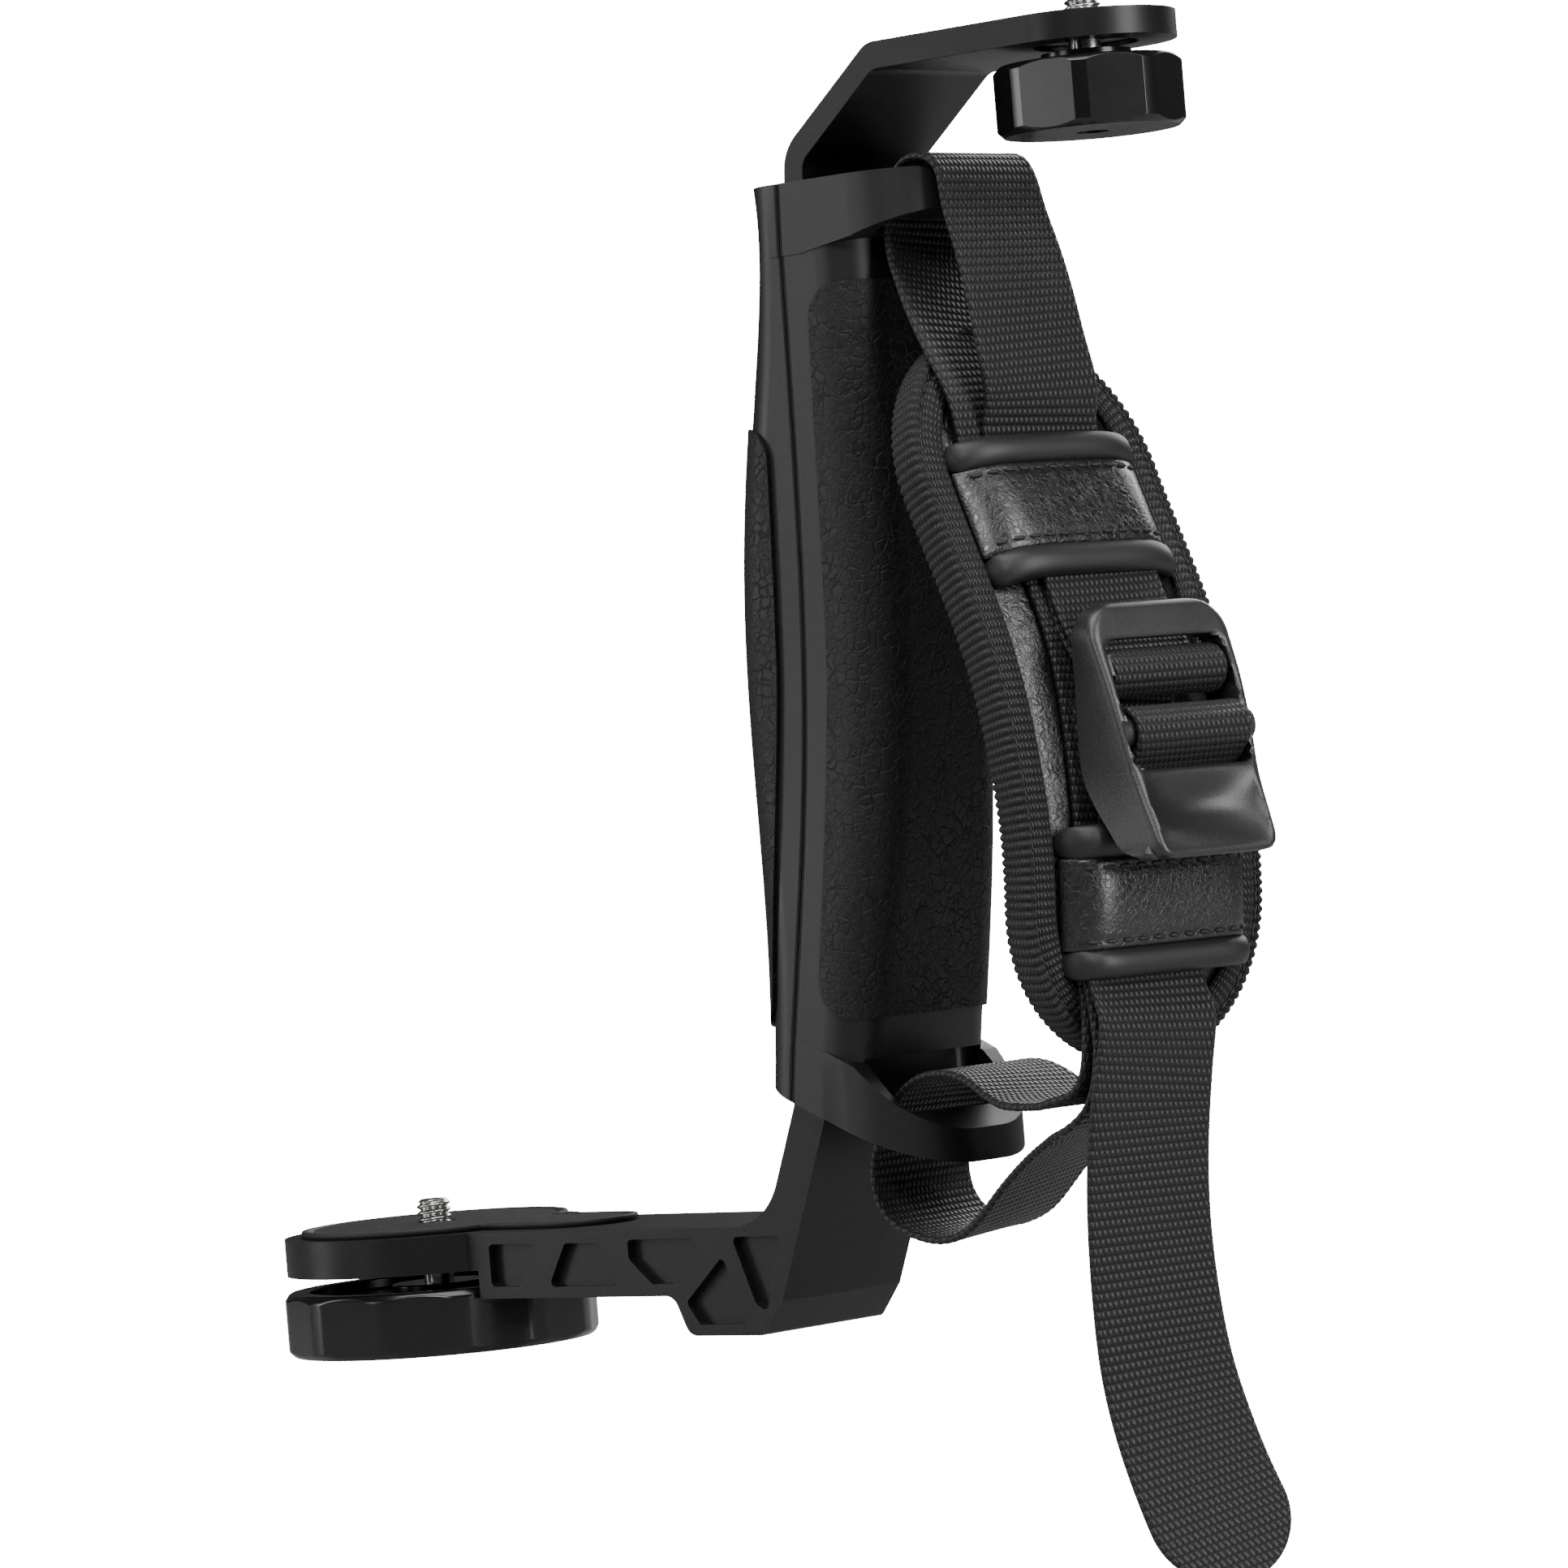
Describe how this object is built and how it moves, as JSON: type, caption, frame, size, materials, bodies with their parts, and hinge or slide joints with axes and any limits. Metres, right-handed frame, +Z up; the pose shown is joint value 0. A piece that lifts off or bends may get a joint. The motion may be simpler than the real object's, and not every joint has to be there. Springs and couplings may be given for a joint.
{
  "type": "gimbal sling handle",
  "caption": "Sling side handle for a camera gimbal: cranked brackets, leaning two-shell grip, padded hand strap with ladder buckle, captive thumb screws at both ends",
  "frame": {"origin": "on the lower thumb screw's axis, at the top of the rubber pad it stands through", "axes": "+Z up along both thumb screws; +X from the lower disc towards the handle and strap; the brackets' width is along Y"},
  "size_m": [0.2317, 0.0585, 0.2705],
  "materials": {
    "black_metal": "satin black anodised",
    "pad_rubber": "matte",
    "screw_steel": "blackened",
    "grip_rubber": "leather grain",
    "shell_plastic": "soft matte",
    "stud_steel": "bright",
    "knob_metal": "gloss black anodised",
    "cushion_leather": "semi-gloss wrinkled",
    "binding_fabric": "ribbed",
    "keeper_leather": "semi-gloss wrinkled",
    "tube_rubber": "matte",
    "webbing": "woven",
    "buckle_plastic": "satin"
  },
  "bodies": {
    "frame": {"lower_bracket": "black_metal", "lower_rubber_pad": "pad_rubber", "upper_bracket": "black_metal", "spine_plate": "black_metal", "frame_screws": "screw_steel", "front_grip_panel": "grip_rubber", "rear_grip_panel": "grip_rubber", "front_shell": "shell_plastic", "rear_shell": "shell_plastic", "shell_screws": "screw_steel", "pad_cushion": "cushion_leather", "pad_binding": "binding_fabric", "upper_keeper_band": "keeper_leather", "upper_keeper_tubes": "tube_rubber", "lower_keeper_band": "keeper_leather", "lower_keeper_tubes": "tube_rubber", "webbing_top_loop": "webbing", "webbing_pad_run": "webbing", "webbing_buckle_anchor": "webbing", "webbing_adjuster": "webbing", "webbing_lower_loop": "webbing", "webbing_tail": "webbing"},
    "lower_screw": {"lower_stud": "stud_steel", "lower_knob": "knob_metal"},
    "lower_clip": {"lower_retaining_clip": "stud_steel"},
    "upper_screw": {"upper_stud": "stud_steel", "upper_knob": "knob_metal"},
    "upper_clip": {"upper_retaining_clip": "stud_steel"},
    "buckle": {"webbing_buckle_turn": "webbing", "buckle": "buckle_plastic"}
  },
  "joints": [
    {"name": "lower_screw_slide", "type": "slide", "parent": "frame", "child": "lower_clip", "axis": [0, 0, 1], "range_m": [0, 0.003]},
    {"name": "lower_knob_turn", "type": "hinge", "parent": "lower_clip", "child": "lower_screw", "pos_m": [0, 0, 0], "axis": [0, 0, 1], "continuous": true},
    {"name": "upper_screw_slide", "type": "slide", "parent": "frame", "child": "upper_clip", "axis": [0, 0, 1], "range_m": [0, 0.0019]},
    {"name": "upper_knob_turn", "type": "hinge", "parent": "upper_clip", "child": "upper_screw", "pos_m": [0.1808, 0, 0], "axis": [0, 0, 1], "continuous": true},
    {"name": "buckle_tilt", "type": "hinge", "parent": "frame", "child": "buckle", "pos_m": [0.1862, -0.00146, 0.0905], "axis": [-0.1392, -0.9903, 0], "range_deg": [0, 15]}
  ]
}
